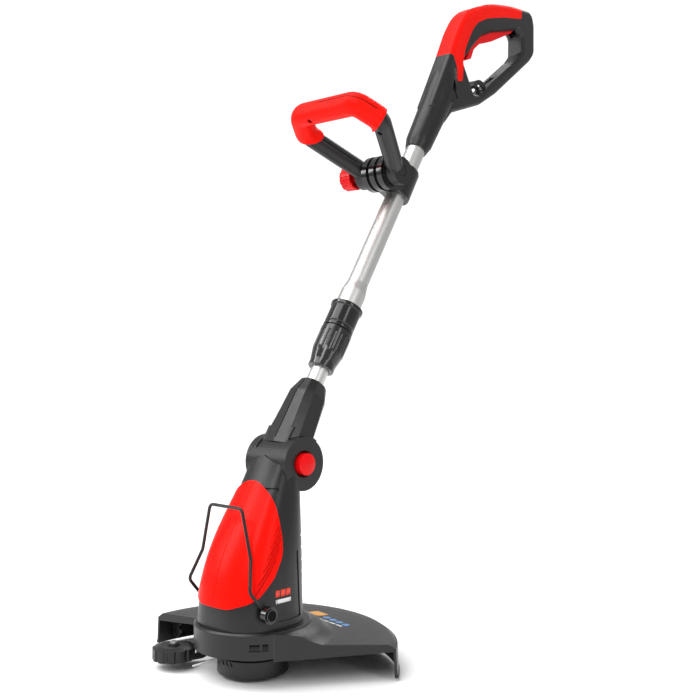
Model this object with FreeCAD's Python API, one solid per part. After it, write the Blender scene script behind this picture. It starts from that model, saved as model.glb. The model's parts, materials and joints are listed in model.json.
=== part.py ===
"""Electric string trimmer: telescopic shaft, two handles, tilting motor head, guard and spool.

Frame, in millimetres: the origin is the centre of the tap button's flat face, under the spool.
+Z runs up the spool's axis, -Y is the tool's front and the user stands at +Y.
Everything above the tilt pivot is drawn upright in the shaft's own frame, where z is the distance
up the tubes, and is then leaned back by SHAFT_TILT.
"""

import FreeCAD, Part
import math
import os

from FreeCAD import Base

Vector = Base.Vector
X_AXIS = Vector(1, 0, 0)
Z_AXIS = Vector(0, 0, 1)

# Driving dimensions of the shaft
SHAFT_TILT = 32.0
SHAFT_FOOT = Vector(0, 40, 226)
UPPER_TUBE_R = 12.5
UPPER_TUBE_WALL = 1.2
LOWER_TUBE_R = 10.5
LOWER_TUBE_WALL = 1.2
NECK_TOP = 102.0
SLEEVE_BOTTOM = 122.0
COLLAR_BOTTOM = 173.0
COLLAR_TOP = 209.0
UPPER_TUBE_BOTTOM = 190.0
UPPER_TUBE_TOP = 560.0
LOWER_TUBE_TOP = 420.0

# Driving dimensions of the handles
HUB_Y = -35.0
HUB_Z = 386.5
HUB_R = 22.0
HUB_HALF = 19.0
ARM_RISE = 0.5
ARM_BOSS_HALF = 35.0
ASSIST_CORNERS = [(27.5, 11), (61, 86), (45, 117)]
GRIP_SECTION_R = 14.5
ASSIST_SCREWS = [(57, 76), (-22, 117)]
ARM_SECTION = (10.5, 12.0)
BOLT_R = 3.0
REAR_SCREWS = [(-12, 590), (-17, 630), (92, 772), (96, 668), (50, 578)]
HANDLE_HALF = 15.0
HANDLE_SKIN = 2.5
HANDLE_WALL = 3.0
FLARE_DEPTH = 5.0
FLARE_WIDTH = 4.2
TRIGGER_PIN_Y = 70.0
TRIGGER_PIN_Z = 743.0
TRIGGER_PIN_R = 2.0

# Driving dimensions of the head
NECK_SCREWS = [(13.8, 50), (13.8, 80), (-14.6, 50), (-14.6, 80)]
NECK_SCREW_HEAD = 10.0
HOUSING_SCREWS = [(38, 72), (38, 120), (38, 166), (-42, 68), (-38, 104), (-22, 148)]
HOUSING_SCREW_HEAD = 16.0
PIVOT = Vector(0, 47, 226)
CHEEK_R = 30.0
CHEEK_HALF = 32.0
KNUCKLE_HALF = 20.0
KNUCKLE_R = 28.7
TILT_PIN_R = 6.0
BUTTON_R = 12.2
BUTTON_TRAVEL = 4.0
HOUSING_WALL = 2.5
HOUSING_ROWS = [
    (59, -57, 50, 53), (90, -54, 50, 50), (125, -44, 50.5, 47), (160, -27, 51, 42),
    (190, -9, 52, 36), (214, 5, 52.5, 32), (238, 17, 52.5, 31),
]
COVER_THICKNESS = 2.0
BASE_R = 64.0
BASE_BOTTOM = 32.0
BASE_TOP = 59.0
BASE_WALL = 3.0
MOTOR_R = 30.0
BRUSH_PLATE_R = 24.0
BEARING_R = 8.0
SHAFT_R = 4.0

# Driving dimensions of the guard, the spool and the wheel
GUARD_R = 158.0
GUARD_SKIRT_R = 160.5
GUARD_SKIRT_BOTTOM = 3.0
GUARD_START_ANGLE = -24.0
GUARD_EDGE = ((58, -26), (134, 84))
GUARD_LAST_ANGLE = 184.0
GUARD_WALL = 2.8
CUTTER_ANGLE = 176.0
SPOOL_R = 39.0
SPOOL_BOTTOM = 3.0
TAP_R = 18.0
TAP_TRAVEL = 3.0
LINE_R = 0.9
LINE_ANGLE = 43.0
LINE_EXIT_Z = 14.5
WHEEL_CENTRE = Vector(-79, -47, 0)
WHEEL_R = 23.5
WHEEL_BOTTOM = 9.5
WHEEL_TOP = 24.5
WHEEL_BRACKET = Vector(-71, -14, 0)

# Driving dimensions of the wire guard
BAIL_PIVOT = Vector(0, -29, 78)
BAIL_POINTS = [
    (44, -29, 78), (51.5, -29, 78), (51.5, -31, 83), (50, -48.5, 102.5), (39.5, -38, 134.5),
    (26, -38.5, 185.5),
]
BAIL_WIRE_R = 1.8
BAIL_KNOB_R = 9.0
BAIL_KNOB_X = 54.0

FIT = 0.05
GAP = 0.4


# Helpers for solids

def cylinder(radius, start, height, axis=Z_AXIS):
    """Round solid from the start point along the axis."""
    return Part.makeCylinder(radius, height, start, axis)


def ring(outer_r, inner_r, bottom, top):
    """Upright tube about the local Z axis."""
    outer = cylinder(outer_r, Vector(0, 0, bottom), top - bottom)
    return outer.cut(cylinder(inner_r, Vector(0, 0, bottom - 1), top - bottom + 2))


def turned(profile):
    """Solid turned about Z from (radius, height) points."""
    points = [Vector(radius, 0, height) for radius, height in profile]
    wire = Part.makePolygon(points + points[:1])
    return Part.Face(wire).revolve(Vector(0, 0, 0), Z_AXIS, 360)


def box(low, high):
    """Block between two opposite corners."""
    size = [high[i] - low[i] for i in range(3)]
    return Part.makeBox(size[0], size[1], size[2], Vector(*low))


def rounded_wire(points, radii):
    """Closed wire through the points, with each corner rounded by its own radius."""
    corners = [Vector(*point) for point in points]
    arcs = []
    for index, corner in enumerate(corners):
        before = (corners[index - 1] - corner).normalize()
        after = (corners[(index + 1) % len(corners)] - corner).normalize()
        half = before.getAngle(after) / 2
        reach = radii[index] / math.tan(half)
        middle = (before + after).normalize() * (radii[index] / math.sin(half) - radii[index])
        arcs.append((corner + before * reach, corner + middle, corner + after * reach))
    edges = []
    for index, (start, middle, end) in enumerate(arcs):
        edges.append(Part.Arc(start, middle, end).toShape())
        following = arcs[(index + 1) % len(arcs)][0]
        edges.append(Part.LineSegment(end, following).toShape())
    return Part.Wire(edges)


def side_wire(outline, radius=3.0):
    """Rounded wire in the YZ plane from (y, z) or (y, z, corner radius) points."""
    points = [(0, corner[0], corner[1]) for corner in outline]
    radii = [corner[2] if len(corner) > 2 else radius for corner in outline]
    return rounded_wire(points, radii)


def side_plate(wire, half_width):
    """Plate with the wire's outline, as thick as twice half_width, centred on X = 0."""
    face = Part.Face(wire)
    face.translate(Vector(-half_width, 0, 0))
    return face.extrude(Vector(2 * half_width, 0, 0))


def side_block(points, x_low, x_high):
    """Plain block along X with a polygon outline of (y, z) points."""
    corners = [Vector(x_low, y, z) for y, z in points]
    face = Part.Face(Part.makePolygon(corners + corners[:1]))
    return face.extrude(Vector(x_high - x_low, 0, 0))


def soften(solid, half_width, radius):
    """Round the edges that lie on the plate's two flat faces."""
    edges = []
    for edge in solid.Edges:
        box_x = edge.BoundBox
        if box_x.XLength < 0.01 and abs(abs(box_x.XMin) - half_width) < 0.01:
            edges.append(edge)
    return solid.makeFillet(radius, edges)


def oval_section(z, y_front, y_back, half_width, squareness=2.6, count=20):
    """Closed smooth curve at height z: a superellipse between the front and the back."""
    middle = (y_front + y_back) / 2
    half_depth = (y_back - y_front) / 2
    points = []
    for index in range(count):
        angle = 2 * math.pi * index / count
        power = 2 / squareness
        x = math.copysign(abs(math.cos(angle)) ** power, math.cos(angle)) * half_width
        y = math.copysign(abs(math.sin(angle)) ** power, math.sin(angle)) * half_depth
        points.append(Vector(x, middle + y, z))
    curve = Part.BSplineCurve()
    curve.interpolate(points, PeriodicFlag=True)
    return Part.Wire(curve.toShape())


def loft(sections):
    """Smooth solid through the sections."""
    return Part.makeLoft(sections, True)


def swept_rod(points, radius, bend_radii):
    """Round rod along straight runs joined by tangent arcs, one bend radius for each inner point."""
    edges = []
    start = points[0]
    for index in range(1, len(points) - 1):
        corner = points[index]
        before = (points[index - 1] - corner).normalize()
        after = (points[index + 1] - corner).normalize()
        half = before.getAngle(after) / 2
        bend = bend_radii[index - 1]
        reach = bend / math.tan(half)
        middle = (before + after).normalize() * (bend / math.sin(half) - bend)
        edges.append(Part.LineSegment(start, corner + before * reach).toShape())
        arc = Part.Arc(corner + before * reach, corner + middle, corner + after * reach)
        edges.append(arc.toShape())
        start = corner + after * reach
    edges.append(Part.LineSegment(start, points[-1]).toShape())
    path = Part.Wire(edges)
    direction = points[1] - points[0]
    circle = Part.Wire(Part.Circle(points[0], direction, radius).toShape())
    return path.makePipeShell([circle], True, True)


def screw(head, axis, length, head_r=3.6, shank_r=1.9):
    """Pan-head screw: head is the point under the head, axis points along the shank."""
    direction = Vector(axis).normalize()
    shank = cylinder(shank_r, head, length, direction)
    cap = cylinder(head_r, head - direction * 2.4, 2.4, direction)
    slot = cylinder(1.2, head - direction * 2.5, 1.2, direction)
    return shank.fuse(cap).cut(slot)


def group(solids):
    """Several solids that make up one part."""
    return Part.makeCompound(solids)


def cross_bars(places, radius, start_x, length):
    """Cylinders along X at the given (y, z) places: bosses, or the wells of screw heads."""
    return [cylinder(radius, Vector(start_x, y, z), length, X_AXIS) for y, z in places]


def half_space(sign):
    """Large box on the +X side (sign 1) or the -X side (sign -1) of the middle plane."""
    if sign > 0:
        return box((0, -400, -400), (400, 1000, 1200))
    return box((-400, -400, -400), (0, 1000, 1200))


def lean(shape):
    """Move a shape from the shaft's upright frame to its leaning place on the tool."""
    placed = shape.copy()
    placed.rotate(Vector(0, 0, 0), X_AXIS, -SHAFT_TILT)
    placed.translate(SHAFT_FOOT)
    return placed


# Shaft

def upper_tube():
    """Outer aluminium tube, swaged wider where the lower tube slides in."""
    wide_r = UPPER_TUBE_R + 2.8
    profile = [
        (wide_r - UPPER_TUBE_WALL, UPPER_TUBE_BOTTOM),
        (wide_r, UPPER_TUBE_BOTTOM),
        (wide_r, 229),
        (UPPER_TUBE_R, 244),
        (UPPER_TUBE_R, UPPER_TUBE_TOP),
        (UPPER_TUBE_R - UPPER_TUBE_WALL, UPPER_TUBE_TOP),
        (UPPER_TUBE_R - UPPER_TUBE_WALL, 244),
        (wide_r - UPPER_TUBE_WALL, 229),
    ]
    return turned(profile)


def lock_collar():
    """Glossy collar fixed round the flared end of the upper tube, with a ringed lower edge."""
    bore = UPPER_TUBE_R + 2.8
    profile = [
        (bore, COLLAR_TOP),
        (19.6, COLLAR_TOP),
        (20.0, COLLAR_TOP - 1.0),
        (19.8, COLLAR_TOP - 4.5),
        (18.4, COLLAR_TOP - 5.5),
        (18.4, COLLAR_BOTTOM + 9.0),
        (17.6, COLLAR_BOTTOM + 8.2),
        (17.6, COLLAR_BOTTOM + 7.0),
        (18.6, COLLAR_BOTTOM + 6.2),
        (18.6, COLLAR_BOTTOM + 3.0),
        (16.0, COLLAR_BOTTOM + 2.4),
        (16.0, COLLAR_BOTTOM),
        (14.4, COLLAR_BOTTOM),
        (14.4, UPPER_TUBE_BOTTOM - 1),
        (bore, UPPER_TUBE_BOTTOM - 1),
    ]
    return turned(profile)


def lock_sleeve():
    """Tapered clamp sleeve with finger flutes; it turns about the shaft to lock the tubes."""
    top = COLLAR_BOTTOM + 1.6
    profile = [
        (16.5, top),
        (18.6, top),
        (19.0, top - 2),
        (19.0, 146),
        (15.6, 129),
        (15.6, SLEEVE_BOTTOM + 0.6),
        (15.0, SLEEVE_BOTTOM),
        (LOWER_TUBE_R + 0.4, SLEEVE_BOTTOM),
        (LOWER_TUBE_R + 0.4, 132),
        (14.2, 140),
        (14.2, COLLAR_BOTTOM - 1),
        (16.5, COLLAR_BOTTOM - 1),
    ]
    sleeve = turned(profile)
    flutes = []
    for index in range(16):
        angle = math.radians(360 / 16 * index)
        centre = Vector(20.3 * math.cos(angle), 20.3 * math.sin(angle), 142)
        flutes.append(cylinder(2.3, centre, 26))
    return sleeve.cut(flutes)


def collet():
    """Split bush that grips the lower tube and lets it turn half a turn for edging."""
    profile = [
        (LOWER_TUBE_R + FIT, 141),
        (12.6, 141),
        (13.6, 150),
        (13.6, 186),
        (LOWER_TUBE_R + FIT, 186),
    ]
    slot = box((-1, 0, 140), (1, 20, 172))
    return turned(profile).cut(slot)


def lower_tube():
    """Inner aluminium tube between the neck and the upper tube."""
    return ring(LOWER_TUBE_R, LOWER_TUBE_R - LOWER_TUBE_WALL, 60, LOWER_TUBE_TOP)


def guide_bush():
    """Plastic bush on the lower tube's top end that slides inside the upper tube."""
    bore = UPPER_TUBE_R - UPPER_TUBE_WALL - FIT
    return ring(bore, LOWER_TUBE_R, LOWER_TUBE_TOP - 20, LOWER_TUBE_TOP)


def shaft_cable():
    """Supply cable inside the two tubes."""
    return cylinder(3.2, Vector(0, 0, 62), LOWER_TUBE_TOP - 62)


def handle_cable():
    """Supply cable inside the rear handle, from the inlet to the switch."""
    return cylinder(3.2, Vector(0, 0, LOWER_TUBE_TOP + 10), 596 - LOWER_TUBE_TOP)


# Assist handle and its bracket

def handle_bracket():
    """Clamp ring round the upper tube with a ribbed hub in front of it."""
    clamp = turned([(0, 377), (17.4, 377), (17.8, 380), (17.2, 417), (16, 420), (0, 420)])
    web = side_block([(HUB_Y, 372), (-4, 377), (-4, 414), (HUB_Y, 408)], -HUB_HALF + 3, HUB_HALF - 3)
    hub = cylinder(HUB_R - 3, Vector(-HUB_HALF, HUB_Y, HUB_Z), 2 * HUB_HALF, X_AXIS)
    bracket = clamp.fuse([web, hub])
    for index in range(3):
        start = -HUB_HALF + 2.5 + index * 12.5
        bracket = bracket.fuse(cylinder(HUB_R, Vector(start, HUB_Y, HUB_Z), 8, X_AXIS))
    bolt_hole = cylinder(BOLT_R, Vector(-40, HUB_Y, HUB_Z), 80, X_AXIS)
    tube_hole = cylinder(UPPER_TUBE_R, Vector(0, 0, 350), 100)
    return bracket.cut([bolt_hole, tube_hole])


def clamp_bolt():
    """Carriage bolt through the hub and both arms; the clamp knob turns on its -X end."""
    start = Vector(-56, HUB_Y, HUB_Z)
    shank = cylinder(BOLT_R, start, 86, X_AXIS)
    head = cylinder(6.5, Vector(29.6, HUB_Y, HUB_Z), 3.0, X_AXIS)
    return shank.fuse(head)


def clamp_knob():
    """Scalloped knob, hollow on the side that faces the arm."""
    start = Vector(-60, HUB_Y, HUB_Z)
    body = cylinder(15.5, start, 17, X_AXIS)
    hollow = cylinder(12.5, start + Vector(5, 0, 0), 20, X_AXIS)
    boss = cylinder(6, start, 17, X_AXIS)
    bore = cylinder(BOLT_R + FIT, start + Vector(3.5, 0, 0), 20, X_AXIS)
    scallops = []
    for index in range(10):
        angle = math.radians(36 * index)
        centre = start + Vector(-1, 17.2 * math.cos(angle), 17.2 * math.sin(angle))
        scallops.append(cylinder(2.6, centre, 20, X_AXIS))
    return body.cut(hollow).fuse(boss).cut([bore] + scallops)


def arm_frame(shape):
    """Place a shape drawn with +Y along the arms and +Z down the shaft onto the hub."""
    placed = shape.copy()
    placed.rotate(Vector(0, 0, 0), X_AXIS, 180 - ARM_RISE)
    placed.translate(Vector(0, HUB_Y, HUB_Z))
    return placed


def assist_path():
    """Centre line of the loop, from the -X boss round the grip to the +X boss."""
    left = [(-x, reach) for x, reach in ASSIST_CORNERS]
    corners = [Vector(x, reach, 0) for x, reach in left + ASSIST_CORNERS[::-1]]
    radii = [0, 18, 15, 15, 18, 0]
    edges = []
    start = corners[0]
    for index in range(1, len(corners) - 1):
        corner = corners[index]
        before = (corners[index - 1] - corner).normalize()
        after = (corners[index + 1] - corner).normalize()
        half = before.getAngle(after) / 2
        reach = radii[index] / math.tan(half)
        sag = radii[index] / math.sin(half) - radii[index]
        middle = corner + (before + after).normalize() * sag
        edges.append(Part.LineSegment(start, corner + before * reach).toShape())
        edges.append(Part.Arc(corner + before * reach, middle, corner + after * reach).toShape())
        start = corner + after * reach
    edges.append(Part.LineSegment(start, corners[-1]).toShape())
    return Part.Wire(edges)


def assist_tube(width_r, depth_r):
    """Oval tube along the loop's centre line."""
    path = assist_path()
    start = path.Vertexes[0].Point
    direction = path.Vertexes[1].Point - start
    across = direction.normalize().cross(Z_AXIS)
    ellipse = Part.Ellipse(start + Z_AXIS * depth_r, start + across * width_r, start)
    return path.makePipeShell([Part.Wire(ellipse.toShape())], True, True)


def assist_core():
    """The loop's dark body: slim arms, thicker round the bosses."""
    body = assist_tube(*ARM_SECTION)
    bosses = []
    for sign in (-1, 1):
        start = Vector(HUB_HALF + 0.6, 0, 0)
        boss = cylinder(17, start, ARM_BOSS_HALF - HUB_HALF - 2.6, X_AXIS)
        if sign < 0:
            boss.rotate(Vector(0, 0, 0), Z_AXIS, 180)
        bosses.append(boss)
    body = body.fuse(bosses)
    space = cylinder(30, Vector(-HUB_HALF - 0.6, 0, 0), 2 * HUB_HALF + 1.2, X_AXIS)
    bolt_hole = cylinder(BOLT_R + FIT, Vector(-80, 0, 0), 160, X_AXIS)
    recess = cylinder(7.0, Vector(29.2, 0, 0), 20, X_AXIS)
    return body.cut([space, bolt_hole, recess])


def assist_wells():
    """Screw wells, open on the side that faces down the shaft."""
    return [cylinder(3.2, Vector(x, reach, 6.4), 20) for x, reach in ASSIST_SCREWS]


def assist_grip():
    """Soft sleeve moulded over the crossbar and its two corners."""
    sleeve = assist_tube(13.5, GRIP_SECTION_R).cut(assist_tube(*ARM_SECTION))
    outline = [(0, 54), (120, 116), (120, 200), (-120, 200), (-120, 116), (0, 54)]
    edge = Part.makePolygon([Vector(x, reach, -40) for x, reach in outline])
    keep = Part.Face(edge).extrude(Z_AXIS * 80)
    return arm_frame(sleeve.common(keep).cut(assist_wells()))


def assist_half(sign):
    """Upper (sign -1) or lower (sign 1) moulding of the loop, split along its middle plane."""
    low, high = (-60, 0) if sign < 0 else (0, 60)
    keep = box((-120, -60, low), (120, 200, high))
    return arm_frame(assist_core().common(keep).cut(assist_wells()))


def assist_handle_screws():
    """Two screws that close the loop's halves."""
    screws = [screw(Vector(x, reach, 6.4), -Z_AXIS, 14, 2.8, 1.4) for x, reach in ASSIST_SCREWS]
    return arm_frame(group(screws))


# Rear handle

def rear_outline():
    """Outer outline of the rear handle's loop in the shaft frame, with corner radii."""
    return [
        (-18, 512, 3), (-24, 596, 60), (-29, 640, 150), (-27, 678, 70), (6, 724, 180),
        (42, 758, 260), (88, 792, 14), (104, 780, 30), (127, 743, 16), (124, 726, 30),
        (84, 626, 40), (64, 588, 30), (22, 536, 6), (17, 512, 3),
    ]


def rear_opening():
    """Outline of the hand opening in the rear handle."""
    return [
        (3, 610, 8), (9, 642, 30), (17, 672, 16), (34, 697, 24), (76, 743, 6), (90, 743, 5),
        (102, 723, 6), (98, 704, 8), (72, 640, 6), (58, 600, 9), (44, 590, 6),
    ]


def cord_hook():
    """Curled hook on the lower bar that holds a loop of the mains lead."""
    centre = Vector(-7, 59, 609)
    hook = cylinder(16, centre, 14, X_AXIS).cut(cylinder(9.5, centre - X_AXIS, 16, X_AXIS))
    gap = side_block([(59, 609), (20, 600), (30, 560), (90, 560), (90, 620)], -8, 8)
    return hook.cut(gap)


def rear_sleeve():
    """Round stem of the rear handle that holds the upper tube."""
    mouth = turned([(0, 453.5), (14.2, 453.5), (17.5, 466), (20, 530), (0, 530)])
    sections = [
        Part.Wire(Part.Circle(Vector(0, 0, 530), Z_AXIS, 20).toShape()),
        Part.Wire(Part.Circle(Vector(0, -3, 565), Z_AXIS, 19.5).toShape()),
        Part.Wire(Part.Circle(Vector(0, -7, 588), Z_AXIS, 15).toShape()),
    ]
    return mouth.fuse(loft(sections))


def rear_plate(inset, half_width):
    """The loop's plate, its outline moved in by inset on every side."""
    outer = side_wire(rear_outline())
    opening = side_wire(rear_opening())
    if inset:
        outer = outer.makeOffset2D(-inset)
        opening = opening.makeOffset2D(inset)
    return side_plate(outer, half_width).cut(side_plate(opening, half_width + 1))


def opening_flares():
    """Slanted mouths of the hand opening, wider towards both outer faces."""
    narrow = side_wire(rear_opening())
    wide = narrow.makeOffset2D(FLARE_WIDTH)
    flares = []
    for sign in (-1, 1):
        inner, outer = narrow.copy(), wide.copy()
        inner.translate(X_AXIS * (sign * (HANDLE_HALF - FLARE_DEPTH)))
        outer.translate(X_AXIS * (sign * HANDLE_HALF))
        flares.append(Part.makeLoft([inner, outer], True, True))
    return flares


def rear_solid():
    """Outer shape of the rear handle before it is hollowed and split."""
    outer = soften(side_plate(side_wire(rear_outline()), HANDLE_HALF), HANDLE_HALF, 7)
    opening = side_plate(side_wire(rear_opening()), HANDLE_HALF + 1)
    return outer.cut([opening] + opening_flares()).fuse([rear_sleeve(), cord_hook()])


def grip_region():
    """Side outline of the soft overmould: over the front corner and along the top bar."""
    region = [
        (-60, 592, 1), (-34, 595, 4), (-20, 601, 8), (-5, 592, 10), (6, 577, 1), (14, 585, 1),
        (5, 604, 14), (-4, 624, 30), (-6, 660, 60), (-2, 678, 30), (12, 700, 60), (38, 728, 90),
        (72, 760, 1), (60, 790, 1), (-60, 790, 1),
    ]
    return side_plate(side_wire(region), 40)


def rear_grip():
    """Soft overmould on the rear handle."""
    skin = rear_solid().common(grip_region())
    core = rear_plate(HANDLE_SKIN, HANDLE_HALF - HANDLE_SKIN)
    return skin.cut(core)


def trigger_slot():
    """Slot in the top bar's underside that the trigger moves in."""
    return side_block([(-2, 614), (44, 660), (90, 742), (74, 768), (20, 712), (-5, 654)], -6.6, 6.6)


def rear_handle(sign):
    """One moulded half of the rear handle, hollow, split along the middle plane."""
    inset = HANDLE_SKIN + HANDLE_WALL
    body = rear_solid().cut(rear_grip())
    hollow = rear_plate(inset, HANDLE_HALF - inset)
    hollow = hollow.cut(cross_bars(REAR_SCREWS, 4.0, -20, 40))
    wells = cross_bars(REAR_SCREWS, 2.9, -40, 40 - HANDLE_HALF + 5)
    stem = cylinder(UPPER_TUBE_R, Vector(0, 0, 440), UPPER_TUBE_TOP - 440)
    cable_way = cylinder(4.0, Vector(0, 0, UPPER_TUBE_TOP - 1), 45)
    mouth = cylinder(5.0, Vector(0, 0, 596), 20)
    pin_hole = cylinder(TRIGGER_PIN_R, trigger_pin_start(), 2 * 12, X_AXIS)
    pocket_outline = [(-5, 571), (1, 538), (6, 538), (19, 558)]
    pockets = [side_block(pocket_outline, 14, 24), side_block(pocket_outline, -24, -14)]
    pockets.append(side_block([(48, 610), (60, 610), (80, 655), (72, 655)], -4.5, 4.5))
    cuts = [hollow, stem, cable_way, mouth, trigger_slot(), pin_hole, inlet_body(), spring_seat()]
    cuts += pockets + wells
    return body.cut(cuts).common(half_space(sign))


def trigger_pin_start():
    """Where the trigger's hinge pin begins, on the -X side."""
    return Vector(-12, TRIGGER_PIN_Y, TRIGGER_PIN_Z)


def trigger_pin():
    """Steel pin the trigger turns on."""
    return cylinder(TRIGGER_PIN_R, trigger_pin_start(), 24, X_AXIS)


def trigger():
    """Long curved trigger hinged at its rear end, hanging under the top bar."""
    outline = [
        (12, 622, 2), (21, 635, 3), (19, 650, 10), (25, 667, 12), (44, 690, 30), (73, 735, 3),
        (76, 744, 4), (68, 750, 4), (40, 714, 12), (20, 690, 6), (12, 664, 5),
    ]
    body = soften(side_plate(side_wire(outline), 6.0), 6.0, 1.4)
    return body.cut(cylinder(TRIGGER_PIN_R + FIT, trigger_pin_start(), 24, X_AXIS))


def spring_seat():
    """Room for the trigger spring beside the trigger."""
    return cylinder(3.4, Vector(6.4, TRIGGER_PIN_Y, TRIGGER_PIN_Z), 3.4, X_AXIS)


def trigger_spring():
    """Torsion spring round the trigger pin, beside the trigger."""
    pin = Vector(7.2, TRIGGER_PIN_Y, TRIGGER_PIN_Z)
    coil = cylinder(3.2, pin, 2.2, X_AXIS)
    return coil.cut(cylinder(TRIGGER_PIN_R, pin - X_AXIS, 5, X_AXIS))


def power_switch():
    """Microswitch inside the front corner, above the trigger."""
    return side_block([(-19, 640), (-9, 640), (-8, 662), (-17, 666)], -6, 6)


def inlet_body():
    """Block with the mains inlet at the rear handle's end."""
    start = Vector(0, 108, 742)
    return cylinder(7.5, start, 22, Vector(0, 0.8, -0.6))


def mains_inlet():
    """Round appliance inlet with two contact pins, sunk in the rear lower corner."""
    axis = Vector(0, 0.8, -0.6)
    start = Vector(0, 108, 742)
    shell = cylinder(7.5, start, 14, axis)
    hollow = cylinder(6.0, start + axis * 3, 12, axis)
    pins = []
    for sign in (-1, 1):
        pins.append(cylinder(1.0, start + axis * 2 + X_AXIS * 3 * sign, 9, axis))
    return shell.cut(hollow).fuse(pins)


def rear_handle_screws():
    """Five self-tapping screws that go in from the -X side."""
    head_x = -HANDLE_HALF + 5
    return group([screw(Vector(head_x, y, z), X_AXIS, 20, 2.6, 1.3) for y, z in REAR_SCREWS])


# Neck

def neck_section(z, half_width, front, back):
    """Nine-sided section of the neck at height z, with a shallow ridge at the front."""
    outline = [
        (-half_width * 0.62, front), (0, front - 1.6), (half_width * 0.62, front),
        (half_width, front + 7), (half_width * 0.96, back - 9), (half_width * 0.6, back),
        (-half_width * 0.6, back), (-half_width * 0.96, back - 9), (-half_width, front + 7),
    ]
    corners = [Vector(x, y, z) for x, y in outline]
    return Part.makePolygon(corners + corners[:1])


def pivot_local():
    """The tilt pivot in the shaft's frame."""
    point = FreeCAD.Placement(Vector(0, 0, 0), FreeCAD.Rotation(X_AXIS, SHAFT_TILT))
    return point.multVec(PIVOT - SHAFT_FOOT)


def neck_solid():
    """Faceted neck with a round knuckle that turns between the housing's cheeks."""
    low = neck_section(16, 28, -20, 20)
    high = neck_section(84, 20.5, -19, 17)
    body = Part.makeLoft([low, high], True, True)
    shoulder = Part.makeLoft([high, neck_section(NECK_TOP, 13.5, -13.5, 14)], True, True)
    pivot = pivot_local()
    swing = CHEEK_R + GAP
    left_clear = cylinder(swing, pivot - X_AXIS * 60, 60 - KNUCKLE_HALF, X_AXIS)
    right_clear = cylinder(swing, pivot + X_AXIS * KNUCKLE_HALF, 60, X_AXIS)
    below = box((-60, -60, -60), (60, 60, pivot.z))
    knuckle = cylinder(KNUCKLE_R, pivot - X_AXIS * KNUCKLE_HALF, 2 * KNUCKLE_HALF, X_AXIS)
    bridge = side_block([(-20, 4), (-20, 40), (20, 40), (34, 8)], -KNUCKLE_HALF, KNUCKLE_HALF)
    bridge = bridge.common(cylinder(KNUCKLE_R + 12, pivot - X_AXIS * 30, 60, X_AXIS))
    shaped = body.cut([left_clear, right_clear, below]).fuse([shoulder, knuckle])
    return shaped.fuse(bridge.common(neck_core_limit()))


def neck_core_limit():
    """Region between the knuckle and the neck's body that the bridge may fill."""
    outline = [(-19.8, 3.7), (-19.8, 50), (18, 50), (24, 26), (34, 8), (34, 3.7)]
    return side_block(outline, -KNUCKLE_HALF, KNUCKLE_HALF)


def neck_half(sign):
    """Half of the neck on the side that sign gives, hollow round the tube and the tilt pin."""
    pivot = pivot_local()
    bore = cylinder(LOWER_TUBE_R, Vector(0, 0, 60), 60)
    pin_hole = cylinder(TILT_PIN_R + FIT, pivot - X_AXIS * 60, 120, X_AXIS)
    room = cylinder(7, Vector(0, 0, 36), 26)
    wells = cross_bars(NECK_SCREWS, 3.3, -60, 60 - NECK_SCREW_HEAD)
    return neck_solid().cut([bore, pin_hole, room] + wells).common(half_space(sign))


def neck_screws():
    """Four screws through the neck halves, from the -X side."""
    head_x = -NECK_SCREW_HEAD
    return group([screw(Vector(head_x, y, z), X_AXIS, 24, 3.0, 1.5) for y, z in NECK_SCREWS])


# Motor housing

def housing_sections(grow):
    """Sections of the housing from the base up to the pivot, grown by grow on every side."""
    sections = []
    for z, front, back, half_width in HOUSING_ROWS:
        sections.append(oval_section(z, front - grow, back + grow, half_width + grow))
    return sections


def housing_outer():
    """Housing with round cheeks at the pivot and a pointed front top."""
    body = loft(housing_sections(0))
    cheeks = cylinder(CHEEK_R, PIVOT - X_AXIS * CHEEK_HALF, 2 * CHEEK_HALF, X_AXIS)
    solid = body.fuse(cheeks)
    above = cylinder(CHEEK_R, PIVOT - X_AXIS * 60, 120, X_AXIS)
    top = box((-60, -40, 205), (60, 100, 300)).cut(above)
    roof = Part.makePolygon([
        Vector(-60, 0, 190), Vector(60, 0, 190), Vector(60, 0, 214), Vector(0, 0, 236),
        Vector(-60, 0, 214), Vector(-60, 0, 190),
    ])
    under_roof = Part.Face(roof).extrude(Vector(0, 90, 0))
    under_roof.translate(Vector(0, -40, 0))
    front_point = box((-60, -40, 190), (60, 30, 300)).common(under_roof)
    return solid.cut(top.cut(front_point))


def housing_hollow():
    """Room for the motor, open at the bottom and closed below the tilt joint."""
    wall = HOUSING_WALL
    rows = [(BASE_TOP - 1, *HOUSING_ROWS[0][1:])] + HOUSING_ROWS[1:4] + [(186, -12, 51, 37)]
    sections = []
    for z, front, back, half_width in rows:
        sections.append(oval_section(z, front + wall, back - wall, half_width - wall))
    return loft(sections)


def knuckle_space():
    """Room for the neck's knuckle between the cheeks."""
    half = KNUCKLE_HALF + GAP
    return cylinder(KNUCKLE_R + GAP, PIVOT - X_AXIS * half, 2 * half, X_AXIS)


def neck_swing_space():
    """Room between the cheeks, above the knuckle, for the neck at every tilt."""
    half = KNUCKLE_HALF + GAP
    above = box((-half, PIVOT.y - 25, PIVOT.z), (half, 120, 300))
    behind = box((-half, PIVOT.y + 12, PIVOT.z - CHEEK_R), (half, 120, 300))
    return above.fuse(behind)


def motor_cradles():
    """Ribs inside the housing that hold the stator and the brush plate."""
    ribs = []
    for bottom, bore in ((96, MOTOR_R), (128, MOTOR_R), (157, BRUSH_PLATE_R)):
        slab = box((-60, -60, bottom), (60, 60, bottom + 3))
        ribs.append(slab.cut(cylinder(bore, Vector(0, 0, bottom - 1), 5)))
    return ribs


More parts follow.
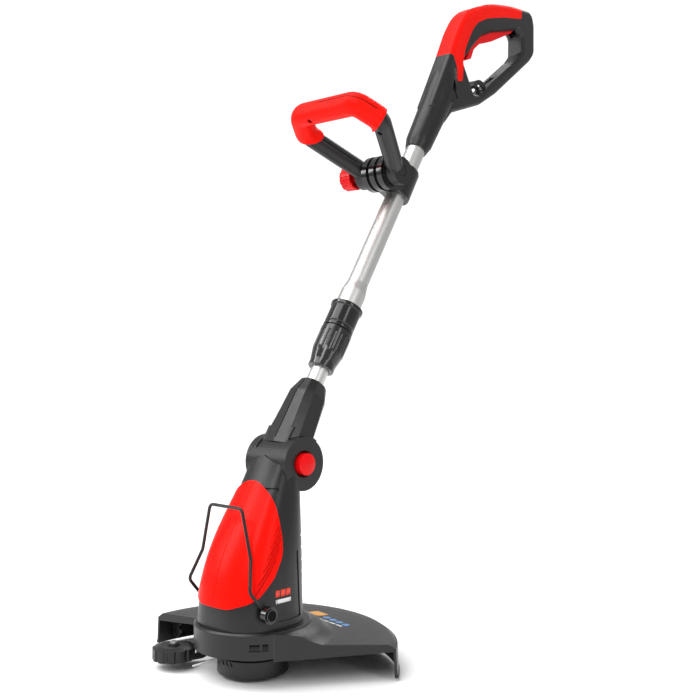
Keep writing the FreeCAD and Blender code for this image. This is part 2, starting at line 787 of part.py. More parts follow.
def motor_housing(sign):
    """Half of the motor housing with its cheek, on the side that sign gives."""
    pin_hole = cylinder(TILT_PIN_R, PIVOT - X_AXIS * 30, 60, X_AXIS)
    button_hole = cylinder(BUTTON_R + GAP, PIVOT + X_AXIS * 22.5, 30, X_AXIS)
    dish = Part.makeCone(BUTTON_R + GAP, BUTTON_R + 3, 3, PIVOT + X_AXIS * (CHEEK_HALF - 3), X_AXIS)
    wire_holes = cylinder(BAIL_WIRE_R + 0.3, BAIL_PIVOT - X_AXIS * 80, 160, X_AXIS)
    hollow = housing_hollow().cut(cross_bars(HOUSING_SCREWS, 4.2, -60, 120) + motor_cradles())
    cuts = [hollow, knuckle_space(), neck_swing_space(), pin_hole, button_hole, dish, wire_holes]
    cuts += cross_bars(HOUSING_SCREWS, 3.2, -80, 80 - HOUSING_SCREW_HEAD)
    cuts += side_panel() + air_vents()
    return housing_outer().cut(cuts).common(half_space(sign))


def side_panel():
    """Shallow recess on both sides, with a deeper groove along its back and lower edges."""
    outline = [(-10, 68), (24, 68), (24, 134), (18, 134), (-10, 92)]
    groove = [
        side_block([(24, 66), (26, 66), (26, 136), (24, 136)], -70, 70),
        side_block([(-10, 66), (26, 66), (26, 68), (-10, 68)], -70, 70),
    ]
    outside = loft(housing_sections(2))
    shallow = outside.cut(loft(housing_sections(-0.6))).common(side_block(outline, -70, 70))
    deep = outside.cut(loft(housing_sections(-1.4)))
    return [shallow] + [deep.common(part) for part in groove]


def air_vents():
    """Cooling slots round the housing's two back corners, and two short slots high at the front."""
    slots = []
    for z in (97, 110, 123, 136, 149):
        slots.append(box((20, 36, z - 2.2), (60, 60, z + 2.2)))
        slots.append(box((-60, 36, z - 2.2), (-20, 60, z + 2.2)))
    deep = loft(housing_sections(2)).cut(loft(housing_sections(-2)))
    front = [box((-40, -20, 200), (-14, 10, 203)), box((14, -20, 200), (40, 10, 203))]
    return slots + [deep.common(slot) for slot in front]


def front_cover():
    """Big cover over the housing's front, with its arched top and sloping lower corners."""
    skin = loft(housing_sections(COVER_THICKNESS)).cut(loft(housing_sections(0)))
    side = [
        (-90, 76, 1), (-47, 78, 4), (-41, 86, 12), (-13, 113, 14), (0, 134, 30), (2, 150, 60),
        (1, 185, 60), (-1, 204, 20), (4, 222, 1), (-90, 222, 1),
    ]
    right = [
        (22, 82, 25), (40, 88, 25), (51, 97, 20), (60, 106, 4), (60, 176, 4), (50, 184, 20),
        (36, 194, 20), (20, 205, 20), (7, 211, 14),
    ]
    arch = right + [(-x, z, radius) for x, z, radius in reversed(right)]
    radii = [corner[2] for corner in arch]
    front_wire = rounded_wire([(corner[0], -100, corner[1]) for corner in arch], radii)
    front_view = Part.Face(front_wire).extrude(Vector(0, 140, 0))
    cover = skin.common(side_plate(side_wire(side), 70)).common(front_view)
    return cover.cut(cover_grooves())


def cover_grooves():
    """Centre seam and slanted ribs' grooves in the cover's outside."""
    groove_depth = 0.5
    floor = loft(housing_sections(COVER_THICKNESS - groove_depth))
    layer = loft(housing_sections(COVER_THICKNESS + 1)).cut(floor)
    grooves = [box((-0.35, -90, 70), (0.35, 30, 220))]
    for index in range(6):
        low = Vector(0, -34 + 6 * index, 100 + 12 * index)
        for x_low in (-70, 30):
            slab = box((x_low, 0, -0.45), (x_low + 40, 70, 0.45))
            slab.rotate(Vector(0, 0, 0), X_AXIS, 52)
            slab.translate(low)
            grooves.append(slab)
    return layer.common(Part.makeCompound(grooves))


def base_ring():
    """Shell under the housing: it holds the lower bearing and covers the spool's top."""
    web = BASE_TOP - BASE_WALL
    profile = [
        (BEARING_R, BASE_TOP), (BASE_R - 2, BASE_TOP), (BASE_R, BASE_TOP - 2), (BASE_R, BASE_BOTTOM),
        (BASE_R - BASE_WALL, BASE_BOTTOM), (BASE_R - BASE_WALL, web), (12, web), (12, 48),
        (SHAFT_R + 1.8, 48), (SHAFT_R + 1.8, 50), (BEARING_R, 50),
    ]
    inner = BASE_R - BASE_WALL
    window_section = [(inner - 1, 41), (BASE_R + 1, 41), (BASE_R + 1, 48), (inner - 1, 48)]
    post_section = [(inner, 40), (BASE_R - 1, 40), (BASE_R - 1, 49), (inner, 49)]
    window = guard_sector(window_section, -45, -27)
    post = guard_sector(post_section, -35, -33)
    return turned(profile).cut(window).fuse(post)


def housing_screws():
    """Six screws through the housing halves, from the -X side."""
    head_x = -HOUSING_SCREW_HEAD
    return group([screw(Vector(head_x, y, z), X_AXIS, 30, 3.0, 1.6) for y, z in HOUSING_SCREWS])


# Motor

def motor_stator():
    """Laminated ring of the motor."""
    stator = ring(MOTOR_R, 18.5, 88, 140)
    flats = [box((-40, 26, 80), (40, 40, 150)), box((-40, -40, 80), (40, -26, 150))]
    return stator.cut(flats)


def armature():
    """Wound laminated core on the motor's shaft."""
    core = ring(17.5, SHAFT_R, 92, 136)
    slots = []
    for index in range(12):
        angle = math.radians(30 * index)
        slots.append(cylinder(1.5, Vector(16.8 * math.cos(angle), 16.8 * math.sin(angle), 90), 50))
    return core.cut(slots)


def commutator():
    """Copper commutator above the armature."""
    return ring(10.5, SHAFT_R, 142, 154)


def brush_plate():
    """Ring that carries the two carbon brush holders and the upper bearing."""
    plate = ring(BRUSH_PLATE_R, 13, 157, 160)
    holders = []
    for sign in (-1, 1):
        holders.append(box((min(sign * 11, sign * 23), -4, 144), (max(sign * 11, sign * 23), 4, 157)))
    cup = ring(13.5, BEARING_R, 157, 167)
    return plate.fuse(holders + [cup])


def bearing(bottom, top):
    """Ball bearing drawn as inner race, balls and outer race in one node."""
    inner = ring(5.6, SHAFT_R + FIT, bottom, top)
    outer = ring(BEARING_R, 6.6, bottom, top)
    middle = ring(6.6, 5.6, bottom + 1.5, top - 1.5)
    return inner.fuse([outer, middle])


def cooling_fan():
    """Bladed fan under the armature."""
    hub = ring(34, SHAFT_R, 62, 64).fuse(ring(8, SHAFT_R, 62, 72))
    blades = []
    for index in range(9):
        blade = box((7, -0.9, 63), (33, 0.9, 73))
        blade.rotate(Vector(0, 0, 0), Z_AXIS, 40 * index)
        blades.append(blade)
    return hub.fuse(blades)


def rotor_shaft():
    """Shaft from the upper bearing down into the spool."""
    return cylinder(SHAFT_R, Vector(0, 0, 14), 158)


# Spool

def spool_housing():
    """Cup with a lower cover; the line leaves through two eyelets in its wall."""
    shell = turned([
        (SHAFT_R, 41), (35.5, 41), (37.2, 39), (37.2, 23), (SPOOL_R, 22), (SPOOL_R, 5),
        (37.5, SPOOL_BOTTOM), (TAP_R + 0.5, SPOOL_BOTTOM), (TAP_R + 0.5, 6), (36, 6), (36, 38),
        (SHAFT_R, 38),
    ])
    return shell.cut(eyelet_holes(2.6))


def eyelet_holes(radius):
    """Two opposite radial holes for the line."""
    angle = math.radians(LINE_ANGLE)
    direction = Vector(math.cos(angle), math.sin(angle), 0)
    start = direction * -45 + Vector(0, 0, LINE_EXIT_Z)
    through = cylinder(radius, start, 90, direction)
    return through.cut(cylinder(32, Vector(0, 0, 0), 60))


def line_eyelets():
    """Brass eyelets where the line leaves the spool housing."""
    angle = math.radians(LINE_ANGLE)
    direction = Vector(math.cos(angle), math.sin(angle), 0)
    eyelets = []
    for sign in (-1, 1):
        start = direction * (sign * 35.2) + Vector(0, 0, LINE_EXIT_Z)
        tube = cylinder(2.6, start, 3.0, direction * sign)
        eyelets.append(tube.cut(cylinder(1.2, start, 4.0, direction * sign)))
    return group(eyelets)


def line_spool():
    """Bobbin that the spare line is wound on."""
    return turned([
        (8, 11), (34, 11), (34, 13), (16, 13), (16, 33), (34, 33), (34, 36), (8, 36),
    ])


def cutting_line():
    """The two short ends of nylon line that stand out of the eyelets."""
    angle = math.radians(LINE_ANGLE)
    out = Vector(math.cos(angle), math.sin(angle), 0)
    side = Vector(-math.sin(angle), math.cos(angle), 0)
    ends = []
    for sign in (-1, 1):
        start = out * (sign * 36.0) + Vector(0, 0, LINE_EXIT_Z)
        bend = out * (sign * 42.0) + Vector(0, 0, LINE_EXIT_Z)
        end = bend + (out * 21.4 + side * 15.2) * sign - Vector(0, 0, 3)
        ends.append(swept_rod([start, bend, end], LINE_R, [3.0]))
    return group(ends)


def tap_button():
    """Button under the spool, held in by its flange: tapping it on the ground feeds line."""
    return turned([
        (0, 0), (TAP_R - 3, 0), (TAP_R, 2.4), (TAP_R, 6.3), (TAP_R + 3, 6.3), (TAP_R + 3, 7.6),
        (9, 7.6), (9, 5.6), (0, 5.6),
    ])


def tap_spring():
    """Compression spring between the tap button and the spool, as a thin sleeve when pressed."""
    return ring(7.6, 6.4, 5.6 + TAP_TRAVEL + GAP, 14)


# Guard

def guard_sector(profile, first, last):
    """Turn a (radius, height) profile from the first to the last angle, from +X to +Y."""
    points = [Vector(radius, 0, height) for radius, height in profile]
    face = Part.Face(Part.makePolygon(points + points[:1]))
    face.rotate(Vector(0, 0, 0), Z_AXIS, first)
    return face.revolve(Vector(0, 0, 0), Z_AXIS, last - first)


def guard_edge_side(shape, from_point, to_point, thickness):
    """The part of the shape that lies within the thickness of the line, on its left side."""
    run = Vector(to_point[0] - from_point[0], to_point[1] - from_point[1], 0)
    slab = box((-400, 0, -10), (400, thickness, 80))
    slab.rotate(Vector(0, 0, 0), Z_AXIS, math.degrees(math.atan2(run.y, run.x)))
    slab.translate(Vector(from_point[0], from_point[1], 0))
    return shape.common(slab)


def guard_shield():
    """Sector shield: raised cone near the base, sloping plate, chamfered rim, deep skirt with a foot."""
    wall = GUARD_WALL
    top = [(BASE_R, 57), (74, 54), (83, 47), (90, 43.5), (150, 39.5), (GUARD_R, 34)]
    under = [(radius, height - wall) for radius, height in reversed(top)]
    under[0] = (GUARD_R - wall, 33)
    skirt = [
        (GUARD_SKIRT_R - 1.2, 7), (GUARD_SKIRT_R, 6), (GUARD_SKIRT_R, GUARD_SKIRT_BOTTOM),
        (GUARD_SKIRT_R - wall - 1.2, GUARD_SKIRT_BOTTOM),
    ]
    shield = guard_sector(top + skirt + under, GUARD_START_ANGLE, GUARD_LAST_ANGLE)
    front = guard_sector(top + [(GUARD_R - 1, 31), (BASE_R, 29)], GUARD_START_ANGLE, GUARD_LAST_ANGLE)
    start, end = GUARD_EDGE
    shield = guard_edge_side(shield, start, end, 2 * GUARD_SKIRT_R)
    front_wall = guard_edge_side(front, start, end, wall)
    left = guard_sector(top + [(GUARD_R - 1, 30), (BASE_R, 38)], GUARD_LAST_ANGLE - 4, GUARD_LAST_ANGLE)
    angle = math.radians(GUARD_LAST_ANGLE)
    direction = Vector(math.cos(angle), math.sin(angle), 0)
    left_wall = guard_edge_side(left, direction * GUARD_R, direction * BASE_R, wall)
    mount_plate = guard_sector([(BASE_R, 34), (70, 34), (70, 53), (BASE_R, 53)], 40, 176)
    return shield.fuse([front_wall, left_wall, mount_plate])


def line_cutter():
    """Steel blade on the skirt's inside near the guard's -X edge."""
    inside = GUARD_SKIRT_R - 6.2
    blade = box((inside - 14, 2, 8), (inside, 3.5, 26))
    tab = box((inside - 1.6, -8, 8), (inside, 3.5, 26))
    cutter = blade.fuse(tab)
    cutter.rotate(Vector(0, 0, 0), Z_AXIS, CUTTER_ANGLE)
    return cutter


def guard_screws():
    """Two screws hold the cutter to the skirt; three hold the guard to the base ring."""
    screws = []
    for height in (12, 22):
        cutter_screw = screw(Vector(GUARD_SKIRT_R - 7.8, -4, height), X_AXIS, 5.0, 3.0, 1.6)
        cutter_screw.rotate(Vector(0, 0, 0), Z_AXIS, CUTTER_ANGLE)
        screws.append(cutter_screw)
    for angle in (60, 108, 156):
        base_screw = screw(Vector(70, 0, 35), -X_AXIS, 10, 3.0, 1.6)
        base_screw.rotate(Vector(0, 0, 0), Z_AXIS, angle)
        screws.append(base_screw)
    return group(screws)


# Edging wheel

def wheel_bracket():
    """Arm from the guard's front lip, down and under the edging wheel."""
    x, y = WHEEL_BRACKET.x, WHEEL_BRACKET.y
    post = box((x - 5, y - 4, 5), (x + 3, y + 4, 44))
    bridge = box((x, y - 4, 33), (-60, y + 4, 44))
    post = post.fuse(bridge.cut(cylinder(BASE_R, Vector(0, 0, 0), 60)))
    foot = cylinder(8, Vector(WHEEL_CENTRE.x, WHEEL_CENTRE.y, 5), 4)
    reach = WHEEL_CENTRE - WHEEL_BRACKET
    arm = box((0, -5, 5), (reach.Length, 5, 9))
    arm.rotate(Vector(0, 0, 0), Z_AXIS, math.degrees(math.atan2(reach.y, reach.x)))
    arm.translate(WHEEL_BRACKET)
    return post.fuse([foot, arm])


def edging_wheel():
    """Scalloped guide wheel with a raised hub."""
    wheel = cylinder(WHEEL_R, WHEEL_CENTRE + Z_AXIS * WHEEL_BOTTOM, WHEEL_TOP - WHEEL_BOTTOM - 2)
    rim = Part.makeCone(WHEEL_R - 1, WHEEL_R - 7, 2, WHEEL_CENTRE + Z_AXIS * (WHEEL_TOP - 2))
    hub = cylinder(7, WHEEL_CENTRE + Z_AXIS * WHEEL_BOTTOM, WHEEL_TOP - WHEEL_BOTTOM + 1.5)
    scallops = []
    for index in range(12):
        angle = math.radians(30 * index)
        place = Vector((WHEEL_R + 1.6) * math.cos(angle), (WHEEL_R + 1.6) * math.sin(angle), 0)
        scallops.append(cylinder(3.2, WHEEL_CENTRE + place, 40))
    bore = cylinder(3 + FIT, WHEEL_CENTRE, 40)
    return wheel.fuse([rim, hub]).cut(scallops + [bore])


def wheel_screw():
    """Shoulder screw that the edging wheel turns on."""
    shank = cylinder(3, WHEEL_CENTRE + Z_AXIS * 5, WHEEL_TOP + 1.8 - 5)
    head = cylinder(4.6, WHEEL_CENTRE + Z_AXIS * (WHEEL_TOP + 1.8), 2.2)
    slot = box((-6, -0.6, WHEEL_TOP + 3.2), (6, 0.6, WHEEL_TOP + 5))
    slot.translate(WHEEL_CENTRE)
    return shank.fuse(head).cut(slot)


# Wire guard

def wire_guard():
    """Bent wire that keeps plants off the line; its two ends turn in the housing's sides."""
    right = [Vector(*point) for point in BAIL_POINTS]
    left = [Vector(-point.x, point.y, point.z) for point in reversed(right)]
    bends = [2.2, 2.2, 8.0, 12.0, 7.0]
    return swept_rod(right + left, BAIL_WIRE_R, bends + bends[::-1])


def wire_guard_knob():
    """Round knob fixed on the bend at the wire's +X end."""
    start = BAIL_PIVOT + X_AXIS * BAIL_KNOB_X
    knob = cylinder(BAIL_KNOB_R, start, 7, X_AXIS)
    rim = cylinder(BAIL_KNOB_R - 2, start + X_AXIS * 7, 1.5, X_AXIS)
    return knob.fuse(rim)


# Tilt lock

def tilt_pin():
    """Pin through the knuckle and both cheeks."""
    return cylinder(TILT_PIN_R, PIVOT - X_AXIS * 29, 50.5, X_AXIS)


def tilt_button():
    """Domed push button in the +X cheek; pressing it frees the tilt."""
    start = PIVOT + X_AXIS * 27.5
    body = cylinder(BUTTON_R, start, 9.0, X_AXIS)
    dome_r = 40.0
    dome = Part.makeSphere(dome_r, start + X_AXIS * (11.5 - dome_r))
    dome = dome.common(cylinder(BUTTON_R, start + X_AXIS * 8.0, 10, X_AXIS))
    return body.fuse(dome).cut(cylinder(8.0, start - X_AXIS, 5, X_AXIS))


def button_spring():
    """Spring behind the tilt button, as a thin sleeve at its pressed length."""
    length = 8.6 - BUTTON_TRAVEL - GAP
    coil = cylinder(7.0, PIVOT + X_AXIS * 22.7, length, X_AXIS)
    return coil.cut(cylinder(5.6, PIVOT + X_AXIS * 22, 10, X_AXIS))


SHAFT_PARTS = {
    "upper_tube": upper_tube,
    "lock_collar": lock_collar,
    "lock_sleeve": lock_sleeve,
    "collet": collet,
    "lower_tube": lower_tube,
    "guide_bush": guide_bush,
    "shaft_cable": shaft_cable,
    "handle_cable": handle_cable,
    "handle_bracket": handle_bracket,
    "clamp_bolt": clamp_bolt,
    "clamp_knob": clamp_knob,
    "assist_handle_upper": lambda: assist_half(-1),
    "assist_handle_lower": lambda: assist_half(1),
    "assist_grip": assist_grip,
    "assist_handle_screws": assist_handle_screws,
    "rear_handle_left": lambda: rear_handle(1),
    "rear_handle_right": lambda: rear_handle(-1),
    "rear_handle_grip": rear_grip,
    "rear_handle_screws": rear_handle_screws,
    "trigger": trigger,
    "trigger_pin": trigger_pin,
    "trigger_spring": trigger_spring,
    "power_switch": power_switch,
    "mains_inlet": mains_inlet,
    "neck_left": lambda: neck_half(1),
    "neck_right": lambda: neck_half(-1),
    "neck_screws": neck_screws,
}

HEAD_PARTS = {
    "motor_housing_left": lambda: motor_housing(1),
    "motor_housing_right": lambda: motor_housing(-1),
    "front_cover": front_cover,
    "base_ring": base_ring,
    "housing_screws": housing_screws,
    "motor_stator": motor_stator,
    "armature": armature,
    "commutator": commutator,
    "brush_plate": brush_plate,
    "upper_bearing": lambda: bearing(160, 166),
    "lower_bearing": lambda: bearing(50, 55),
    "cooling_fan": cooling_fan,
    "rotor_shaft": rotor_shaft,
    "spool_housing": spool_housing,
    "line_eyelets": line_eyelets,
    "line_spool": line_spool,
    "cutting_line": cutting_line,
    "tap_button": tap_button,
    "tap_spring": tap_spring,
    "guard_shield": guard_shield,
    "line_cutter": line_cutter,
    "guard_screws": guard_screws,
    "wheel_bracket": wheel_bracket,
    "edging_wheel": edging_wheel,
    "wheel_screw": wheel_screw,
    "wire_guard": wire_guard,
    "wire_guard_knob": wire_guard_knob,
    "tilt_pin": tilt_pin,
    "tilt_button": tilt_button,
    "button_spring": button_spring,
}


def write_parts():
    """Builds every part and writes one STEP file for each."""
    os.makedirs("parts", exist_ok=True)
    shapes = {name: lean(build()) for name, build in SHAFT_PARTS.items()}
    shapes.update({name: build() for name, build in HEAD_PARTS.items()})
    for name, shape in shapes.items():
        shape.exportStep("parts/" + name + ".step")
        valid = "valid" if shape.isValid() else "NOT VALID"
        print(name, len(shape.Solids), "solids", round(shape.Volume), "mm3", valid)


write_parts()
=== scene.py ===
"""Corded string trimmer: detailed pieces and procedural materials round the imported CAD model."""
import json
import math

import bmesh
import bpy
from mathutils import Matrix, Vector


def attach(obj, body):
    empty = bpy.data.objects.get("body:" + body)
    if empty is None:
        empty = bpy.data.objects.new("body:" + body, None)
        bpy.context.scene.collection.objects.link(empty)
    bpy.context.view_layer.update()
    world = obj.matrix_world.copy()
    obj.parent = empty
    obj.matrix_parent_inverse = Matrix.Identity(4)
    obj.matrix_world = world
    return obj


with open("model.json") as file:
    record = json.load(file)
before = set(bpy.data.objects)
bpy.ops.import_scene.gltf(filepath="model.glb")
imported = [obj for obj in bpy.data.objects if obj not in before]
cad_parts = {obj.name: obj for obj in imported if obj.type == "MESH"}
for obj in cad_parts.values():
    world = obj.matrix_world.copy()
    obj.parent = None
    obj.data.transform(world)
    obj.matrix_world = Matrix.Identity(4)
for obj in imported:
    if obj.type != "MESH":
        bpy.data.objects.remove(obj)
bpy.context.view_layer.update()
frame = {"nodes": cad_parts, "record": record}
nodes = frame["nodes"]

MM = 0.001

# Frames of the leaning shaft and of the loop handle that turns on it
SHAFT_TILT = math.radians(32.0)
SHAFT_FOOT = Vector((0, 40, 226)) * MM
SHAFT_FRAME = Matrix.Translation(SHAFT_FOOT) @ Matrix.Rotation(-SHAFT_TILT, 4, "X")
ARM_HUB = Vector((0, -35, 386.5)) * MM
ARM_TURN = math.radians(179.5)
ARM_FRAME = SHAFT_FRAME @ Matrix.Translation(ARM_HUB) @ Matrix.Rotation(ARM_TURN, 4, "X")

# Rounded edge of the CAD nodes
EDGE_WIDTH = 0.35 * MM
EDGE_ANGLE = math.radians(32.0)
EDGE_SEGMENTS = 2

# Camera and daylight, then the lamps: name, place, aim, size and power of each, in metres and watts
CAMERA_PLACE = (0.8227, -0.7268, 0.352)
CAMERA_HEADING = math.radians(43)
CAMERA_LENS = 51.43
DAYLIGHT_ON_OBJECT = 0.55
DAYLIGHT_SEEN = 1.1
SUN_STRENGTH = 2.0
SUN_SPREAD = math.radians(50)
SUN_TURN = (math.radians(24), math.radians(-12), 0)
LAMPS = (
    ("key", (1.0, -2.2, 2.2), (0, 0.1, 0.35), (0.7, 1.4), 24.0),
    ("fill", (2.4, -0.2, 1.2), (0, 0.1, 0.35), (0.5, 1.8), 10.0),
    ("strip", (-1.6, -1.4, 1.6), (0, 0.1, 0.4), (0.35, 1.8), 20.0),
    ("back", (-0.6, 2.2, 1.9), (0, 0.1, 0.4), (1.6, 0.8), 14.0),
)

# Floor disc
FLOOR_RADII = (0.02, 0.8, 2.4)
FLOOR_SIDES = 96
FLOOR_HEIGHT = -0.5 * MM

# Thin pieces on the CAD surface: how far out their rays start, how deep a patch's back sinks into
# the surface, and how far from its planned point a strip's may land
PATCH_REACH = 30 * MM
PATCH_DEPTH = 0.2 * MM
STRIP_REACH = 20 * MM
STRIP_STRAY = 15 * MM

# Places at or just under the surface that the thin pieces are cast onto, in millimetres
HOUSING_LABEL_X = 50
HOUSING_LABEL_YZ = (-1, 91)
GUARD_TOP_Z = 60
CHEVRON_RADIUS = 30
CHEVRON_Z = 20
WIRE_KNOB_FACE = Vector((62.5, -29, 78))
ARM_SEAM_STEPS = 14
NECK_SEAM_TOP = Vector((0, -14, 99))
NECK_SEAM_FOOT = Vector((0, -21, 22))
NECK_SEAM_STEPS = 24
COVER_LINE_COUNT = 6
COVER_LINE_SIDE = 47
COVER_LINE_YZ = (-34, 100)
COVER_LINE_GAP = Vector((0, 6, 12))
COVER_LINE_SLOPE = math.radians(52)
COVER_LINE_REACH = range(-6, 40, 3)


# Materials

def new_material(name):
    """Empty Principled material, with its tree, its shader and the object's own coordinates."""
    material = bpy.data.materials.new(name)
    material.use_nodes = True
    tree = material.node_tree
    tree.nodes.clear()
    shader = tree.nodes.new("ShaderNodeBsdfPrincipled")
    output = tree.nodes.new("ShaderNodeOutputMaterial")
    tree.links.new(shader.outputs["BSDF"], output.inputs["Surface"])
    coordinates = tree.nodes.new("ShaderNodeTexCoord").outputs["Object"]
    return material, tree, shader, coordinates


def noise(tree, coordinates, scale, detail=2.0, roughness=0.5):
    """Noise value at the coordinates, about 0.3 to 0.7."""
    node = tree.nodes.new("ShaderNodeTexNoise")
    node.inputs["Scale"].default_value = scale
    node.inputs["Detail"].default_value = detail
    node.inputs["Roughness"].default_value = roughness
    tree.links.new(coordinates, node.inputs["Vector"])
    return node.outputs["Fac"]


def remap(tree, value, low, high, source_low=0.3, source_high=0.7):
    """The value stretched from its source range to low and high."""
    node = tree.nodes.new("ShaderNodeMapRange")
    node.inputs["From Min"].default_value = source_low
    node.inputs["From Max"].default_value = source_high
    node.inputs["To Min"].default_value = low
    node.inputs["To Max"].default_value = high
    tree.links.new(value, node.inputs["Value"])
    return node.outputs["Result"]


def mix_colour(tree, factor, low, high):
    """Blend of two colours by the factor; each is a triple or another node's output."""
    node = tree.nodes.new("ShaderNodeMix")
    node.data_type = "RGBA"
    for socket, colour in ((node.inputs[6], low), (node.inputs[7], high)):
        if isinstance(colour, (tuple, list)):
            socket.default_value = (*colour, 1.0)
        else:
            tree.links.new(colour, socket)
    tree.links.new(factor, node.inputs["Factor"])
    return node.outputs[2]


def bump(tree, height, distance):
    """Normal of a surface raised by the height value, up to the distance in metres."""
    node = tree.nodes.new("ShaderNodeBump")
    node.inputs["Distance"].default_value = distance
    node.inputs["Strength"].default_value = 1.0
    tree.links.new(height, node.inputs["Height"])
    return node.outputs["Normal"]


def edge_highlight_mask(tree, radius):
    """Mask of the painted edge highlight: 1 on sharp edges and 0 on flat stretches, from how far a rounded
    normal leans away.
    """
    rounded = tree.nodes.new("ShaderNodeBevel")
    rounded.samples = 4
    rounded.inputs["Radius"].default_value = radius
    geometry = tree.nodes.new("ShaderNodeNewGeometry")
    lean = tree.nodes.new("ShaderNodeVectorMath")
    lean.operation = "DOT_PRODUCT"
    tree.links.new(rounded.outputs["Normal"], lean.inputs[0])
    tree.links.new(geometry.outputs["Normal"], lean.inputs[1])
    return remap(tree, lean.outputs["Value"], 1.0, 0.0, 0.82, 0.99)


def moulded_plastic(name, colour, roughness, grain=0.00012, grain_scale=900.0, mottle=0.12,
                    coat=0.0, specular=0.5, edge_highlight_colour=None):
    """Moulded or painted surface: fine grain, faint clouds and, if an edge highlight colour is given, sharp
    edges lightened towards it as a painted highlight.
    """
    material, tree, shader, coordinates = new_material(name)
    clouds = noise(tree, coordinates, 14.0, 4.0, 0.6)
    specks = noise(tree, coordinates, grain_scale * 0.6, 2.0, 0.6)
    dark = tuple(c * (1 - mottle) for c in colour)
    light = tuple(min(1.0, c * (1 + mottle)) for c in colour)
    surface = mix_colour(tree, remap(tree, clouds, 0.0, 1.0), dark, light)
    # Painted highlight: sharp edges are lightened towards a paler colour, patchy by the clouds, in place of
    # the sheen that rounded rims catch.
    if edge_highlight_colour:
        highlight_amount = tree.nodes.new("ShaderNodeMath")
        highlight_amount.operation = "MULTIPLY"
        tree.links.new(edge_highlight_mask(tree, 0.7 * MM), highlight_amount.inputs[0])
        tree.links.new(remap(tree, clouds, 0.15, 0.6), highlight_amount.inputs[1])
        surface = mix_colour(tree, highlight_amount.outputs["Value"], surface, edge_highlight_colour)
    tree.links.new(surface, shader.inputs["Base Color"])
    spread = remap(tree, specks, roughness - 0.06, roughness + 0.06)
    tree.links.new(spread, shader.inputs["Roughness"])
    grain_height = noise(tree, coordinates, grain_scale, 3.0, 0.65)
    tree.links.new(bump(tree, grain_height, grain), shader.inputs["Normal"])
    shader.inputs["Specular IOR Level"].default_value = specular
    shader.inputs["Coat Weight"].default_value = coat
    shader.inputs["Coat Roughness"].default_value = 0.12
    return material


def brushed_metal(name, colour, roughness, brush_scale, turn=None):
    """Metal with fine lines or grain and faint smudges."""
    material, tree, shader, coordinates = new_material(name)
    mapping = tree.nodes.new("ShaderNodeMapping")
    if turn is not None:
        mapping.inputs["Rotation"].default_value = turn
    tree.links.new(coordinates, mapping.inputs["Vector"])
    stretch = tree.nodes.new("ShaderNodeVectorMath")
    stretch.operation = "MULTIPLY"
    stretch.inputs[1].default_value = brush_scale
    tree.links.new(mapping.outputs["Vector"], stretch.inputs[0])
    lines = noise(tree, stretch.outputs["Vector"], 1.0, 3.0, 0.7)
    smudges = noise(tree, coordinates, 22.0, 4.0, 0.6)
    dull = tuple(c * 0.86 for c in colour)
    surface = mix_colour(tree, remap(tree, lines, 0.0, 1.0), dull, colour)
    tree.links.new(surface, shader.inputs["Base Color"])
    blend = tree.nodes.new("ShaderNodeMath")
    blend.operation = "ADD"
    tree.links.new(remap(tree, lines, roughness - 0.07, roughness + 0.05), blend.inputs[0])
    tree.links.new(remap(tree, smudges, -0.03, 0.05), blend.inputs[1])
    tree.links.new(blend.outputs["Value"], shader.inputs["Roughness"])
    tree.links.new(bump(tree, lines, 0.00003), shader.inputs["Normal"])
    shader.inputs["Metallic"].default_value = 1.0
    return material


def nylon_material(name):
    """Milky nylon line, smooth and slightly translucent."""
    material, tree, shader, coordinates = new_material(name)
    bands = noise(tree, coordinates, 180.0, 2.0)
    milky = mix_colour(tree, remap(tree, bands, 0, 1), (0.72, 0.73, 0.74), (0.9, 0.9, 0.9))
    tree.links.new(milky, shader.inputs["Base Color"])
    tree.links.new(remap(tree, bands, 0.22, 0.36), shader.inputs["Roughness"])
    shader.inputs["Subsurface Weight"].default_value = 0.25
    shader.inputs["Subsurface Radius"].default_value = (0.001, 0.001, 0.001)
    return material


def plastics():
    """Settings of every moulded or painted material, by name."""
    return {
        # The dark plastic's paler edge colour is a painted highlight on its sharp edges.
        "dark_plastic": dict(colour=(0.0085, 0.0085, 0.0088), roughness=0.34, specular=0.40,
                             edge_highlight_colour=(0.06, 0.06, 0.061)),
        "gloss_black": dict(colour=(0.005, 0.005, 0.0052), roughness=0.14, grain=0.00003,
                            grain_scale=260.0, specular=0.4, coat=0.3),
        "sleeve_black": dict(colour=(0.006, 0.006, 0.0062), roughness=0.20, grain=0.00002,
                             grain_scale=300.0, specular=0.5, coat=0.25),
        "red_plastic": dict(colour=(0.86, 0.0045, 0.0008), roughness=0.30, grain=0.00004,
                            mottle=0.05, specular=0.08),
        "red_soft": dict(colour=(0.86, 0.006, 0.0015), roughness=0.40, grain=0.00012,
                         grain_scale=1400.0, mottle=0.05, specular=0.09),
        "dark_red_plastic": dict(colour=(0.74, 0.003, 0.005), roughness=0.26, grain=0.00004,
                                 mottle=0.07, specular=0.16),
        "black_steel": dict(colour=(0.009, 0.0092, 0.0095), roughness=0.30, grain=0.00004,
                            mottle=0.2, coat=0.1, specular=0.35),
        "cable": dict(colour=(0.016, 0.016, 0.017), roughness=0.42, grain=0.00005),
        # seam: black of the parting lines, and also of the painted shade disc on the wire guard knob.
        "seam": dict(colour=(0.002, 0.002, 0.002), roughness=0.6, grain=0.00002, specular=0.1),
        "red_shadow": dict(colour=(0.60, 0.003, 0.001), roughness=0.5, grain=0.00002, specular=0.08),
        "label_red": dict(colour=(0.80, 0.045, 0.018), roughness=0.35, grain=0.00002, mottle=0.04),
        "label_white": dict(colour=(0.78, 0.78, 0.78), roughness=0.35, grain=0.00002, mottle=0.03),
        "label_orange": dict(colour=(0.80, 0.38, 0.07), roughness=0.4, grain=0.00002, mottle=0.05),
        "label_blue": dict(colour=(0.12, 0.30, 0.62), roughness=0.4, grain=0.00002, mottle=0.05),
    }


